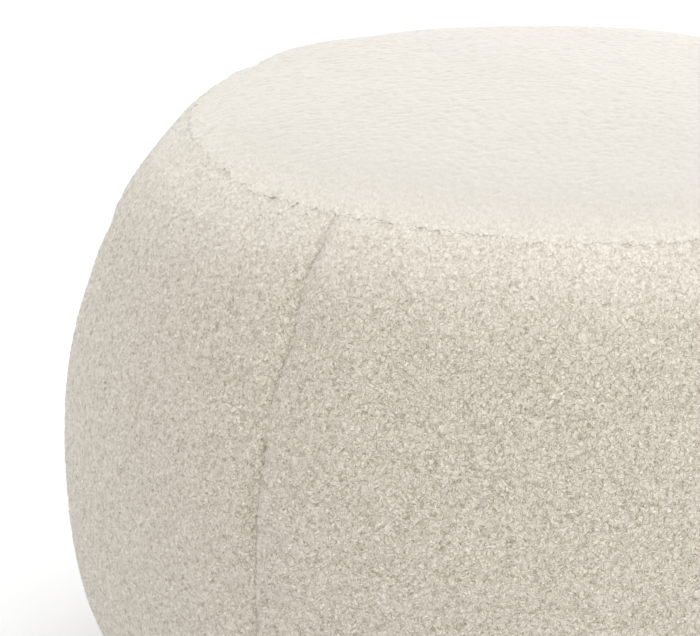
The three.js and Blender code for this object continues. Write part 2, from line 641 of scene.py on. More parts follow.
    def drawn_in(self, distances: np.ndarray) -> np.ndarray:
        """Depth by which seams draw the cloth in, full at a seam and fading as a bell curve.

        The round seams come first, and the upright ones draw in what those leave.

        Args:
            distances: Distances to the upright, base and top seams, along the last axis.

        Returns:
            Depths.
        """
        upright = bell(distances[..., 0], self.upright_spread)
        round_ones = bell(distances[..., 1:].min(axis=-1), self.round_spread)
        return self.round_depth * round_ones + self.upright_depth * upright * (1 - round_ones)

    def side(self, angle: np.ndarray, across: np.ndarray, rise: np.ndarray) -> np.ndarray:
        """Point of the puffed side as (radius, height).

        The profile moves out by the swell. Where none is given, it moves out by a puff of sine by
        cosine squared and in by the seams' draw.

        Args:
            angle: Plan angles.
            across: Places between the upright seams.
            rise: Places up the side.

        Returns:
            Points as (radius, height).
        """
        point, normal = self.side_profile(angle, rise)
        if self.swell:
            offset = self.swell.on_side(angle, rise)
        else:
            puff = self.panel_puff * np.sin(np.pi * rise) * np.cos(np.pi / 2 * across) ** 2
            offset = puff - self.drawn_in(self.seam_distances(across, rise, point[..., 0]))
        return point + normal * offset[..., None]

    def crown(self, seam: np.ndarray, share: np.ndarray, height: float) -> np.ndarray:
        """Point of a crown as (radius, height): it falls to its seam as a power of the share."""
        fall = (height - seam[..., 1]) * share**self.crown_power
        return np.stack([seam[..., 0] * share, height - fall], axis=-1)

    def top(self, angle: np.ndarray, share: np.ndarray) -> np.ndarray:
        """Point of the top panel, on a crown that the swell lifts.

        Args:
            angle: Plan angles.
            share: Shares of the way from its middle to its seam.

        Returns:
            Points as (radius, height).
        """
        seam = self.side(angle, self.across_at(angle), np.ones_like(angle))
        point = self.crown(seam, share, self.height)
        if self.swell:
            point[..., 1] += self.swell.on_top(angle, share)
        return point

    def curled(self, seam: np.ndarray, share: np.ndarray) -> np.ndarray:
        """Point of a base as (radius, height): flat, then curling up to its seam as a square."""
        curl = np.maximum(0, share - self.base_flat) / (1 - self.base_flat)
        return np.stack([seam[..., 0] * share, seam[..., 1] * curl**2], axis=-1)

    def base(self, angle: np.ndarray, share: np.ndarray) -> np.ndarray:
        """Point of the base as (radius, height), a share of the way from its middle to its seam."""
        seam = self.side(angle, self.across_at(angle), np.zeros_like(angle))
        return self.curled(seam, share)


# ---- Stuffing the body ----


@dataclass(frozen=True)
class StuffedSkin:
    """The whole body's skin as one closed sheet of cloth, blown out by its stuffing.

    The skin starts a little inside the level of its seams. In a cloth simulation its seams and its
    base are held, pressure from inside pushes the rest out, and the cloth is cut a little larger
    than the body, so that it fills out between the seams and puckers along them.

    Attributes:
        form: The body's form, without a swell.
        columns: Columns of the sheet across each side panel.
        rows: Rows of the sheet up the side.
        rings: Rings of the sheet over the top, and half as many under the base.
        slack: How far inside the seams' level the skin starts.
        unevenness: How uneven the stuffing makes the skin at the start.
        uneven_sizes: Sizes of that unevenness on the side and on the top.
        spare: Share by which the cloth is cut larger than the body.
        pressure: Pressure from inside.
        frames: Frames of the simulation.
        side_cap: Most that the side may move.
        top_rise: How far the middle of the top rises, to which the whole top is scaled.
        top_slack: How far below its crown the top starts.
        evening: How many times each column of the top's swell is blended with its neighbours.
    """

    form: StuffedForm
    columns: int = 34
    rows: int = 44
    rings: int = 24
    slack: float = 2.2 * MM
    unevenness: float = 0.7 * MM
    uneven_sizes: tuple[float, float] = (45 * MM, 60 * MM)
    spare: float = 0.015
    pressure: float = 4.0
    frames: int = 20
    side_cap: float = 5.0 * MM
    top_rise: float = 7.6 * MM
    top_slack: float = 0.5 * MM
    evening: int = 12

    @property
    def around(self) -> int:
        """Columns right round the body."""
        return self.columns * self.form.side_panels

    def _grid(self, steps: np.ndarray) -> list[np.ndarray]:
        """Plan angles, the first on a seam, and steps of a grid that goes right round the body."""
        angles = self.form.first_seam + np.arange(self.around) / self.around * 2 * np.pi
        return np.meshgrid(angles, steps)

    def _sheet(self) -> tuple[list[np.ndarray], np.ndarray, np.ndarray]:
        """Parts of the skin: side, top rings, top middle, base rings and base middle.

        Returns:
            The points of each part, the side's outward normals, and whether a point is held.
        """
        form = self.form
        side_size, top_size = self.uneven_sizes
        angle, rise = self._grid(np.linspace(0, 1, self.rows + 1))
        upright = np.zeros(angle.shape, dtype=bool)
        upright[:, :: self.columns] = True
        profile, normal = form.side_profile(angle, rise)
        held = upright | (rise == 0) | (rise == 1)
        offset = -self.slack + np.where(upright, self.slack - form.upright_depth, 0)
        offset = np.where((rise == 0) | (rise == 1), -form.round_depth, offset)
        seams = profile + normal * offset[..., None]
        side = turned(seams, angle)
        bumps = self.unevenness * drift(side, side_size, Seed.SIDE_STUFFING)[..., :1]
        side += turned(normal, angle) * np.where(held, 0, 1)[..., None] * bumps

        ring_angle, share = self._grid(np.linspace(1, 0, self.rings + 1)[1:-1])
        crown = form.height - self.top_slack
        top = turned(form.crown(seams[-1], share, crown), ring_angle)
        top[..., 2] += self.unevenness * drift(top, top_size, Seed.TOP_STUFFING)[..., 0]
        base_angle, share = self._grid(np.linspace(1, 0, self.rings // 2 + 1)[1:-1])
        base = turned(form.curled(seams[0], share), base_angle)
        parts = [side, top, np.array([[[0, 0, crown]]]), base, np.zeros((1, 1, 3))]
        fixed = [held] + [np.full(p.shape[:2], i > 1) for i, p in enumerate(parts[1:])]
        return parts, turned(normal, angle), np.concatenate([f.ravel() for f in fixed])

    def _faces(self, parts: list[np.ndarray]) -> list[np.ndarray]:
        """Quads between neighbouring rows and triangles at the two middles, facing outwards.

        Args:
            parts: Points of each part of the skin.

        Returns:
            The quads and the triangles.
        """
        starts = np.cumsum([0] + [p.shape[0] * p.shape[1] for p in parts])
        grids = [
            start + np.arange(p.shape[0] * p.shape[1]).reshape(p.shape[:2])
            for start, p in zip(starts, parts)
        ]
        upward = np.concatenate([grids[3][::-1], grids[0], grids[1]])
        beside = np.roll(upward, -1, axis=1)
        quads = np.stack([upward[:-1], beside[:-1], beside[1:], upward[1:]], axis=-1)
        lid = np.stack([upward[-1], beside[-1], np.full(self.around, grids[2][0, 0])], axis=-1)
        foot = np.stack([beside[0], upward[0], np.full(self.around, grids[4][0, 0])], axis=-1)
        return [quads.reshape(-1, 4), np.concatenate([lid, foot])]

    def _blown_out(self, skin: bpy.types.Object) -> np.ndarray:
        """Runs the cloth simulation of the skin, whose group `held` stays put.

        Args:
            skin: The skin before it is blown out.

        Returns:
            Its points afterwards.
        """
        cloth = skin.modifiers.new("stuffing", "CLOTH")
        settings = cloth.settings
        settings.quality = 5
        settings.use_pressure = True
        settings.uniform_pressure_force = self.pressure
        settings.effector_weights.gravity = 0
        settings.vertex_group_mass = "held"
        settings.shrink_min = -self.spare
        cloth.collision_settings.use_collision = False
        cloth.point_cache.frame_start, cloth.point_cache.frame_end = 1, self.frames
        for step in range(1, self.frames + 1):
            bpy.context.scene.frame_set(step)
        blown = skin.evaluated_get(bpy.context.evaluated_depsgraph_get()).data
        points = np.empty(len(blown.vertices) * 3, dtype=np.float32)
        blown.vertices.foreach_get("co", points)
        return points.reshape(-1, 3).astype(np.float64)

    def _side_swell(self, side: np.ndarray, normals: np.ndarray, move: np.ndarray) -> np.ndarray:
        """Distance of the blown side from the form's smooth profile.

        The move is capped softly, as the cap times the hyperbolic tangent of the move in caps, and
        fades in a bell curve towards the round seams.

        Args:
            side: The side before it is blown out.
            normals: Its outward normals.
            move: How far each point has moved.

        Returns:
            Distances along the normals.
        """
        form = self.form
        out = self.side_cap * np.tanh(np.sum(move * normals, axis=-1) / self.side_cap)
        angle, rise = self._grid(np.linspace(0, 1, self.rows + 1))
        smooth = turned(form.side_profile(angle, rise)[0], angle)
        out *= 1 - bell(form.side_length * np.minimum(rise, 1 - rise), form.round_spread)
        return out + np.sum((side - smooth) * normals, axis=-1)

    def _top_swell(self, lift: np.ndarray) -> np.ndarray:
        """Height of the blown top above the form's crown.

        Args:
            lift: How far each point has risen: rings from the seam in, one a row, then the middle.

        Returns:
            Heights in rings from the middle to the seam.
        """
        lift = lift * (self.top_rise / lift[-1])
        middle = np.full((1, self.around), lift[-1])
        rings = np.concatenate([middle, lift[:-1].reshape(-1, self.around)[::-1]])
        for _ in range(self.evening):
            rings = (np.roll(rings, 1, axis=1) + 2 * rings + np.roll(rings, -1, axis=1)) / 4
        share = np.linspace(0, 1, self.rings + 1)[:-1, None]
        rings -= self.top_slack * (1 - share**self.form.crown_power)
        return np.concatenate([rings, np.zeros((1, self.around))])

    def swell(self) -> Swell:
        """Blows the skin out and measures how far it stands from the form's smooth surfaces.

        Returns:
            The swell of the side and of the top.
        """
        parts, normals, held = self._sheet()
        side, top = parts[0], parts[1]
        start = np.concatenate([p.reshape(-1, 3) for p in parts])
        skin = mesh_piece("stuffed_skin", start, self._faces(parts))
        group = skin.vertex_groups.new(name="held")
        group.add(np.flatnonzero(held).tolist(), 1.0, "REPLACE")
        move = self._blown_out(skin) - start
        bpy.data.objects.remove(skin)
        bpy.context.scene.frame_set(1)
        count = side.size // 3
        side_swell = self._side_swell(side, normals, move[:count].reshape(side.shape))
        top_swell = self._top_swell(move[count : count + top.size // 3 + 1, 2])
        for name, grid in (("side", side_swell), ("top", top_swell)):
            log.info("swell of the %s: %.1f to %.1f mm", name, grid.min() / MM, grid.max() / MM)
        return Swell(self.form.first_seam, side_swell, top_swell)


# ---- Curly pile ----


@dataclass
class PiledFace:
    """A panel's outer face with its pile raised, on a grid of points.

    Attributes:
        points: The raised points.
        depth: Each point's place in the pile, from 0 at its roots to 1, less in the seams; the
            cloth's colour paints shade by it.
        closed: How far the pile lies closed at each point, from 0 to 1; the cloth's colour paints
            light from above by it.
    """

    points: np.ndarray
    depth: np.ndarray
    closed: np.ndarray


@dataclass(frozen=True)
class Lump:
    """A place where the stuffing stands fuller, or slacker where the height is negative.

    It is a bell curve of the distance to its place.

    Attributes:
        place: Its place, in millimetres.
        width: How wide it is, in millimetres.
        height: How far it stands out, in millimetres.
    """

    place: Triple
    width: float
    height: float

    def at(self, points: np.ndarray) -> np.ndarray:
        """How far it moves the cloth out at points, in metres."""
        distance = np.linalg.norm(points - np.array(self.place) * MM, axis=-1)
        return self.height * MM * bell(distance, self.width * MM)


@dataclass(frozen=True)
class CurlyPile:
    """Relief of the pile: small curls, in clumps, over slow lumps in the stuffing.

    Attributes:
        turn: Turn of the noises' grid, so that no side of the body lies along it.
        curl_size: Mean distance between curls.
        curl_height: Rise of a curl above the creases round it.
        curl_bend: How far curls are shifted by a noise, and the size of that noise.
        clump_size: Mean distance between clumps of curls.
        clump_height: Rise of a clump above the creases round it.
        clump_bend: How far clumps are shifted by a noise, and the size of that noise.
        clump_tone: Share of that rise by which clumps differ.
        curl_part: Share of the depth in the pile that follows the curls, and not the clumps.
        lean: How far curls lean sideways from their roots, by noise of the size after it.
        lump_size: Distance over which the stuffing is uneven.
        lump_height: How far those lumps stand up or sink.
        small_lumps: Distance and height of smaller lumps among them, as shares of theirs.
        lumps_clear: Distance from a seam over which they come up.
        lumps: Single lumps besides.
        seam_cut: Distance from a seam over which the cloth turns down into it.
        seam_sink: Depth to which it turns at an upright seam.
        round_pull: Share of that depth at a round seam.
        seam_shade: Painted shade where it turns down: the share of a curl's depth in the pile that
            the colour loses there.
        unevenness: How much the turning down varies along an upright and a round seam.
        uneven_size: Size of the noise by which it varies.
        uneven_range: Its least and its most, as shares of its even width and depth.
        upright: Upward part of the normal below which the pile hangs fully open.
        level: Upward part of the normal above which it lies fully closed.
        flattened: Share of its height that the pile loses where it lies closed.
        seam_open: Share by which it stays open at a seam, with less painted light from above there.
        seam_open_width: Distance from a seam over which that fades.
        parting_shade: Share by which it opens where the cloth turns down into a seam, which paints
            shade there.
    """

    turn: Triple = (0.6, 0.5, 0.9)
    curl_size: float = 3.4 * MM
    curl_height: float = 1.7 * MM
    curl_bend: tuple[float, float] = (1.4 * MM, 3 * MM)
    clump_size: float = 7.5 * MM
    clump_height: float = 0.45 * MM
    clump_bend: tuple[float, float] = (3 * MM, 9 * MM)
    clump_tone: float = 0.25
    curl_part: float = 0.82
    lean: tuple[float, float] = (0.9 * MM, 2.6 * MM)
    lump_size: float = 60 * MM
    lump_height: float = 0.35 * MM
    small_lumps: tuple[float, float] = (0.4, 0.5)
    lumps_clear: float = 12 * MM
    lumps: tuple[Lump, ...] = (
        Lump((-155, 117, 346), 42, 3.2),
        Lump((-177, 100, 342), 13, -1.6),
        Lump((-193, 84, 338), 12, 0.8),
        Lump((-205, 60, 336), 18, 0.9),
        Lump((-229, 36, 315), 18, -0.9),
        Lump((-245, 12, 292), 26, 1.9),
        Lump((-85, 165, 348), 40, 1.5),
        Lump((35, 184, 349), 50, 1.5),
    )
    seam_cut: float = 2.0 * MM
    seam_sink: float = 1.1 * MM
    round_pull: float = 0.38
    seam_shade: float = 0.65
    unevenness: tuple[float, float] = (0.35, 2.1)
    uneven_size: float = 5 * MM
    uneven_range: tuple[float, float] = (0.1, 2.2)
    upright: float = 0.42
    level: float = 1.0
    flattened: float = 0.5
    seam_open: float = 0.12
    seam_open_width: float = 20 * MM
    parting_shade: float = 0.4

    def _pull(self, spot: np.ndarray, seams: np.ndarray) -> np.ndarray:
        """How far the cloth turns down, 1 at an even upright seam: a bell curve of uneven width.

        Args:
            spot: Places in the turned grid of the noises.
            seams: Distances to the nearest upright and the nearest round seam.

        Returns:
            The share at each point, a little over 1 in places.
        """
        noise = drift(spot, self.uneven_size, Seed.UNEVEN_SEAMS)[..., 2:]
        uneven = np.clip(1 + noise * self.unevenness, *self.uneven_range)
        pull = uneven * bell(seams, self.seam_cut * uneven) * (1, self.round_pull)
        return pull.max(axis=-1)

    def raise_pile(
        self, points: np.ndarray, upward: np.ndarray, seams: np.ndarray, full: np.ndarray
    ) -> PiledFace:
        """Raises the pile on a grid of points.

        The cloth first swells in its lumps and turns down at its seams. Each point then moves along
        the sunk surface's normal by the curls and clumps, which are tufts at points shifted by
        smooth noise, and leans sideways by more smooth noise. The pile hangs open on the side and
        closes where the cloth lies level: the share grows evenly from 0 to 1 while the upward part
        of the normal grows from `upright` to `level`, and is less near a seam. The cloth's colour
        paints light from above by that share, and shade by the depth in the pile.

        Args:
            points: Grid of the smooth surface, rows by columns by three, outward by the right hand.
            upward: Upward part of the body's normal at each point, regardless of upright seams.
            seams: Distances of each point to its nearest upright and its nearest round seam.
            full: Share of the pile's full height at each point.

        Returns:
            The face with its pile.
        """
        seam = seams.min(axis=-1)
        spot = points @ np.array(Euler(self.turn).to_matrix())
        pull = self._pull(spot, seams)
        smooth = grid_normals(points)
        closeness, share = self.small_lumps
        lump = drift(points, self.lump_size, Seed.LUMPS)[..., 0]
        lump += share * drift(points, self.lump_size * closeness, Seed.SMALL_LUMPS)[..., 1]
        swell = self.lump_height * lump * (1 - bell(seam, self.lumps_clear))
        for single in self.lumps:
            swell += single.at(points)
        sunk = points + smooth * (swell - self.seam_sink * pull)[..., None]

        shift, size = self.curl_bend
        bent = spot + shift * drift(spot, size, Seed.CURL_BEND)
        curl, _ = tufts(bent, self.curl_size, Seed.CURLS)
        shift, size = self.clump_bend
        bent = spot + shift * drift(spot, size, Seed.CLUMP_BEND)
        clump, tone = tufts(bent, self.clump_size, Seed.CLUMPS)
        height = self.curl_height * curl + self.clump_height * (clump + self.clump_tone * tone)
        shift, size = self.lean
        free = 1 - bell(seam, self.seam_cut)
        lean = shift * (free * curl)[..., None] * drift(spot, size, Seed.LEAN)
        lean -= smooth * np.sum(lean * smooth, axis=-1, keepdims=True)
        # The closed share flattens the pile, and the cloth's colour paints light from above by it.
        closed = np.clip((upward - self.upright) / (self.level - self.upright), 0, 1)
        full = full * (1 - self.flattened * closed)
        mean = self.curl_height + self.clump_height
        raised = grid_normals(sunk) * ((height - mean) * full)[..., None]
        raised += lean * full[..., None]

        # Painted shade in the seams: where the cloth turns down, the depth falls, which darkens the
        # colour, and so does the closed share, which paints light from above.
        seam_darkening = np.minimum(1, pull)
        depth = np.clip(self.curl_part * curl + (1 - self.curl_part) * clump, 0, 1)
        depth *= 1 - self.seam_shade * seam_darkening
        closed *= 1 - self.seam_open * bell(seam, self.seam_open_width)
        closed *= 1 - self.parting_shade * seam_darkening
        return PiledFace(sunk + raised, depth, closed)


# ---- Padded panels ----


@dataclass
class PaddedPanel:
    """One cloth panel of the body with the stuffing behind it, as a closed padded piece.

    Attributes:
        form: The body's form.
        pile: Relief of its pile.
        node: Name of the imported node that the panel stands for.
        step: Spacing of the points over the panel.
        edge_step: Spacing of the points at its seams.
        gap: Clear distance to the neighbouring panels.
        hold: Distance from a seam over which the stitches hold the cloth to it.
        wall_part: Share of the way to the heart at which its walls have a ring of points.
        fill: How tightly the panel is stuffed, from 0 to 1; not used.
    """

    form: StuffedForm
    pile: CurlyPile
    node: str
    step: float = 1.36 * MM
    edge_step: float = 0.45 * MM
    gap: float = 0.01 * MM
    hold: float = 1.3 * MM
    wall_part: float = 0.06
    fill: float = 0.85

    def outer_face(self) -> PiledFace:
        """The outer face with its pile."""
        raise NotImplementedError

    def limit(
        self, points: np.ndarray, seam: np.ndarray, rise: float, above: bool
    ) -> np.ndarray:
        """Turns points about the heart on to their own side of the cone through a round seam.

        Points at the seam are drawn to the cone from either side, in a bell curve of their
        distance to it, so that neighbouring panels meet.

        Args:
            points: Points of an outer face.
            seam: Distance of each point to the seam.
            rise: 0 for the base seam and 1 for the top seam.
            above: Whether the points belong above the cone.

        Returns:
            The moved points.
        """
        form = self.form
        relative = points - form.heart
        angle = plan_angle(relative)
        reach = np.linalg.norm(relative, axis=-1)
        tilt = np.arctan2(relative[..., 2], np.hypot(relative[..., 0], relative[..., 1]))
        edge = form.side(angle, form.across_at(angle), np.full_like(angle, rise))
        edge = edge + form.round_stray(angle, rise)[..., None] * form.seam_tangent(angle, rise)
        wall = np.arctan2(edge[..., 1] - form.widest_level, edge[..., 0])
        clear = self.gap / np.maximum(reach, self.gap)
        wall = wall + clear if above else wall - clear
        tilt += (wall - tilt) * bell(seam, self.hold)
        tilt = np.maximum(tilt, wall) if above else np.minimum(tilt, wall)
        outline = np.stack([reach * np.cos(tilt), reach * np.sin(tilt)], axis=-1)
        return form.heart + turned(outline, angle)

    def build(self) -> bpy.types.Object:
        """Builds the closed piece: the outer face, a ring of wall inside its seams, and the heart.

        Returns:
            The new object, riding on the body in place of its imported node.
        """
        face = self.outer_face()
        rows, columns = face.depth.shape
        number = np.arange(rows * columns).reshape(rows, columns)
        quads = np.stack(
            [number[:-1, :-1], number[:-1, 1:], number[1:, 1:], number[1:, :-1]], axis=-1
        ).reshape(-1, 4)
        rim = np.concatenate(
            [number[0, :-1], number[:-1, -1], number[-1, :0:-1], number[:0:-1, 0]]
        )
        outer = face.points.reshape(-1, 3)
        inward = outer[rim] + (self.form.heart - outer[rim]) * self.wall_part
        ring = outer.shape[0] + np.arange(rim.size)
        heart = np.full(rim.size, ring[-1] + 1)
        following, ring_following = np.roll(rim, -1), np.roll(ring, -1)
        wall = np.stack([following, rim, ring, ring_following], axis=-1)
        cone = np.stack([ring_following, ring, heart], axis=-1)
        points = np.concatenate([outer, inward, self.form.heart[None]])
        piece = mesh_piece(f"{self.node}_cloth", points, [quads, wall, cone])
        mark_sharp(piece.data, rim)
        inside = np.zeros(points.shape[0] - outer.shape[0])
        # The depth paints shade towards the roots and in the seams, and the closed share paints
        # light from above, in the cloth's colour.
        for name, values in (("depth_shade", face.depth), ("closed_toplight", face.closed)):
            shade = piece.data.attributes.new(name, "FLOAT", "POINT")
            numbers = np.concatenate([values.ravel(), inside]).astype(np.float32)
            shade.data.foreach_set("value", numbers)
        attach(piece, BODY)
        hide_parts(self.node)
        return piece


@dataclass
class SidePanel(PaddedPanel):
    """An upright side panel of the barrel.

    Attributes:
        index: Its place round the body, from 0.
        lowest: Height that its points keep above the floor.
        drawn_part: Share of the seams' draw in the slope that closes its pile.
    """

    index: int = 0
    lowest: float = 0.3 * MM
    drawn_part: float = 0.4

    def outer_face(self) -> PiledFace:
        """Grid from the base seam up, and from one upright seam to the next.

        The slope that closes the pile is a blend of the smooth profile's and of the drawn cloth's,
        which is the same all along a row, so that the upright seams don't count.

        Returns:
            The face with its pile.
        """
        form = self.form
        width = 2 * form.half_panel * form.radius
        across = 2 * graded_steps(width, self.step, self.edge_step, True) - 1
        rises = graded_steps(form.side_length, self.step, self.edge_step, True)
        across, rises = np.meshgrid(across, rises)
        angle = form.panel_middle(self.index) + form.half_panel * across
        outline = form.side(angle, across, rises)
        seams = form.seam_distances(across, rises, outline[..., 0])
        nearest = np.where(across < 0, self.index, self.index + 1)
        near = bell(seams[..., 0], form.stray_spread)
        swing = near * form.upright_stray(nearest, outline[..., 1]) / outline[..., 0]
        points = turned(outline, angle + swing)
        for rise, distance in ((0.0, seams[..., 1]), (1.0, seams[..., 2])):
            points = form.astray(points, form.seam_tangent(angle, rise), distance, rise)
        nearby = np.stack([seams[..., 0], seams[..., 1:].min(axis=-1)], axis=-1)
        smooth = form.side_profile(angle, rises)[1][..., 1]
        drawn = np.median(grid_normals(points)[..., 2], axis=1, keepdims=True)
        upward = (1 - self.drawn_part) * smooth + self.drawn_part * drawn
        face = self.pile.raise_pile(points, upward, nearby, np.ones_like(across))
        points = self.between_uprights(face.points, np.where(across < 0, -1, 1), seams[..., 0])
        points = self.limit(points, seams[..., 2], 1.0, above=False)
        face.points = self.limit(points, seams[..., 1], 0.0, above=True)
        return face

    def between_uprights(
        self, points: np.ndarray, half: np.ndarray, seam: np.ndarray
    ) -> np.ndarray:
        """Points turned about the axis on to their own side of the panel's upright seams.

        Points at a seam are drawn to it from either side, in a bell curve of their distance to it.

        Args:
            points: Points of the outer face.
            half: -1 in the half of the panel at its first seam, and 1 in the other.
            seam: Distance of each point to the nearer upright seam.

        Returns:
            The moved points.
        """
        form = self.form
        middle = form.panel_middle(self.index)
        flat = np.hypot(points[..., 0], points[..., 1])
        height = np.maximum(points[..., 2], self.lowest)
        off = (plan_angle(points) - middle + np.pi) % (2 * np.pi) - np.pi
        shift = form.upright_stray(self.index + (half + 1) // 2, height) - half * self.gap
        wall = half * form.half_panel + shift / flat
        off += (wall - off) * bell(seam, self.hold)
        off = np.where(half < 0, np.maximum(off, wall), np.minimum(off, wall))
        return turned(np.stack([flat, height], axis=-1), middle + off)


@dataclass
class RoundPanel(PaddedPanel):
    """A round panel, on a square grid whose squares are stretched into rings."""

    def disc(self, radius: float) -> tuple[np.ndarray, np.ndarray]:
        """Shares and plan angles of a grid that covers a disc.

        Each square ring of the grid becomes a round ring: a point's share is the larger of its two
        square coordinates, and its angle is their ratio times an eighth of a turn.

        Args:
            radius: Radius of the disc.

        Returns:
            Share of the radius and plan angle at each point.
        """
        out = graded_steps(radius, self.step, self.edge_step, False)
        line = np.concatenate([-out[:0:-1], out])
        ranks = np.concatenate([-np.arange(out.size)[:0:-1], np.arange(out.size)]).astype(float)
        x, y = np.meshgrid(ranks, ranks)
        share = np.maximum(*(np.abs(v) for v in np.meshgrid(line, line)))
        wide = np.abs(x) >= np.abs(y)
        ratio = np.where(wide, y, x) / np.maximum(np.where(wide, np.abs(x), np.abs(y)), 1)
        eighth = np.pi / 4 * ratio
        angle = np.where(
            wide,
            np.where(x >= 0, eighth, np.pi - eighth),
            np.where(y >= 0, np.pi / 2 - eighth, eighth - np.pi / 2),
        )
        return share, angle

    def piled(
        self, points: np.ndarray, upward: np.ndarray, seam: np.ndarray, full: np.ndarray
    ) -> PiledFace:
        """Raises the pile of a panel that no upright seam reaches.

        Args:
            points: Grid of the smooth surface.
            upward: Upward part of the normal at each point.
            seam: Distance of each point to the round seam.
            full: Share of the pile's full height at each point.

        Returns:
            The face with its pile.
        """
        seams = np.stack([np.full_like(seam, self.form.radius), seam], axis=-1)
        return self.pile.raise_pile(points, upward, seams, full)


@dataclass
class TopPanel(RoundPanel):
    """The round top panel, with its low crown."""

    step: float = 1.5 * MM

    def outer_face(self) -> PiledFace:
        """Grid over the crown, out to the top seam.

        Returns:
            The face with its pile.
        """
        form = self.form
        share, angle = self.disc(form.top_seam.radius)
        seam = form.top_seam.radius * (1 - share)
        points = turned(form.top(angle, share), angle)
        points = form.astray(points, form.seam_tangent(angle, 1.0), seam, 1.0)
        face = self.piled(points, grid_normals(points)[..., 2], seam, np.ones_like(seam))
        face.points = self.limit(face.points, seam, 1.0, above=True)
        return face


@dataclass
class BasePanel(RoundPanel):
    """The round base panel, pressed flat by the body's weight.

    Attributes:
        pressed: Share of the pile's height that is left where it is pressed flat.
        lowest: Height that its points keep above the floor.
    """

    step: float = 3.2 * MM
    pressed: float = 0.1
    lowest: float = 0.1 * MM

    def outer_face(self) -> PiledFace:
        """Grid over the base, out to the base seam, with the pile pressed flat in the middle.

        Returns:
            The face with its pile.
        """
        form = self.form
        share, angle = (values[:, ::-1] for values in self.disc(form.base_seam.radius))
        seam = form.base_seam.radius * (1 - share)
        loose = np.clip((share - form.base_flat) / (1 - form.base_flat), 0, 1)
        points = turned(form.base(angle, share), angle)
        points = form.astray(points, form.seam_tangent(angle, 0.0), seam, 0.0)
        full = self.pressed + (1 - self.pressed) * loose
        face = self.piled(points, np.zeros_like(seam), seam, full)
        face.points = self.limit(face.points, seam, 0.0, above=False)
        face.points[..., 2] = np.maximum(face.points[..., 2], self.lowest)
        return face


# ---- Shader maths ----


class Wire:
    """A value in a shader: a socket whose arithmetic adds Math nodes."""

    def __init__(self, graph: "Graph", socket: bpy.types.NodeSocket | None) -> None:
        """Wraps an output socket of a graph."""
        self.graph = graph
        self.socket = socket

    def _math(self, operation: str, *others: "Wire | float") -> "Wire":
        """A Math node of this value and others."""
        return self.graph.node("ShaderNodeMath", {"operation": operation}, self, *others)

    def __add__(self, other: "Wire | float") -> "Wire":
        """Sum."""
        return self._math("ADD", other)

    __radd__ = __add__

    def __mul__(self, other: "Wire | float") -> "Wire":
        """Product."""
        return self._math("MULTIPLY", other)

    __rmul__ = __mul__

    def __sub__(self, other: "Wire | float") -> "Wire":
        """Difference."""
        return self._math("SUBTRACT", other)

    def __rsub__(self, other: float) -> "Wire":
        """Difference from a number."""
        return self.graph.node("ShaderNodeMath", {"operation": "SUBTRACT"}, other, self)

    def __pow__(self, other: "Wire | float") -> "Wire":
        """Power."""
        return self._math("POWER", other)

    def __abs__(self) -> "Wire":
        """Size without sign."""
        return self._math("ABSOLUTE")

    def clamped(self) -> "Wire":
        """The value kept from 0 to 1."""
        settings = {"operation": "ADD", "use_clamp": True}
        return self.graph.node("ShaderNodeMath", settings, self, 0.0)


class Graph:
    """The nodes of one material or of the world."""

    def __init__(self, tree: bpy.types.NodeTree) -> None:
        """Starts an empty node tree."""
        self.tree = tree
        tree.nodes.clear()

    def node(
        self,
        kind: str,
        settings: dict | None = None,
        *values: object,
        out: int | str = 0,
        **named: object,
    ) -> Wire:
        """Adds a node.

        Args:
            kind: The node's type.
            settings: Attributes of the node, set before its sockets.
            *values: Values or wires for its first sockets, in order; None leaves one alone.
            out: The output to return, by number or name.
            **named: Values or wires by socket name, with _ for a space.

        Returns:
            The chosen output.
        """
        node = self.tree.nodes.new(kind)
        for key, value in (settings or {}).items():
            setattr(node, key, value)
        sockets = [(node.inputs[i], v) for i, v in enumerate(values)]
        sockets += [(node.inputs[key.replace("_", " ")], v) for key, v in named.items()]
        for socket, value in sockets:
            if isinstance(value, Wire):
                self.tree.links.new(value.socket, socket)
            elif value is not None:
                socket.default_value = value
        return Wire(self, node.outputs[out] if len(node.outputs) else None)

    def moved(self, place: Wire, shift: Wire, size: float) -> Wire:
        """A place moved by a noise's colour, less its middle value, times a size.

        Args:
            place: The place.
            shift: The noise's colour.
            size: How far it moves the place.

        Returns:
            The moved place.
        """
        kind, middle = "ShaderNodeVectorMath", (0.5, 0.5, 0.5)
        centred = self.node(kind, {"operation": "SUBTRACT"}, shift, middle)
        scaled = self.node(kind, {"operation": "SCALE"}, centred, Scale=size)
        return self.node(kind, {"operation": "ADD"}, place, scaled)

    def noise(self, place: Wire, size: float, detail: float, out: str = "Fac") -> Wire:
        """Smooth noise whose waves are about `size` metres long."""
        waves = {"Scale": 1 / size, "Detail": detail, "Roughness": 0.55}
        return self.node("ShaderNodeTexNoise", {}, out=out, Vector=place, **waves)

    def mix(self, share: Wire, first: Wire | Colour, second: Wire | Colour) -> Wire:
        """A colour between two.

        Args:
            share: Share of the second, from 0 to 1.
            first: The first colour.
            second: The second colour.

        Returns:
            The colour.
        """
        unused = [None] * 5
        return self.node(
            "ShaderNodeMix", {"data_type": "RGBA"}, share, *unused, first, second, out=2
        )

    def finish(self, **named: object) -> None:
        """Ends a material in one Principled surface with the given inputs."""
        surface = self.node("ShaderNodeBsdfPrincipled", {}, **named)
        self.node("ShaderNodeOutputMaterial", {}, surface)


def new_material(name: str) -> tuple[bpy.types.Material, Graph]:
    """Makes a material with an empty graph of nodes.

    Args:
        name: Name of the material.

    Returns:
        The material and its graph.
    """
    material = bpy.data.materials.new(name)
    material.use_nodes = True
    return material, Graph(material.node_tree)


# ---- Finishes ----


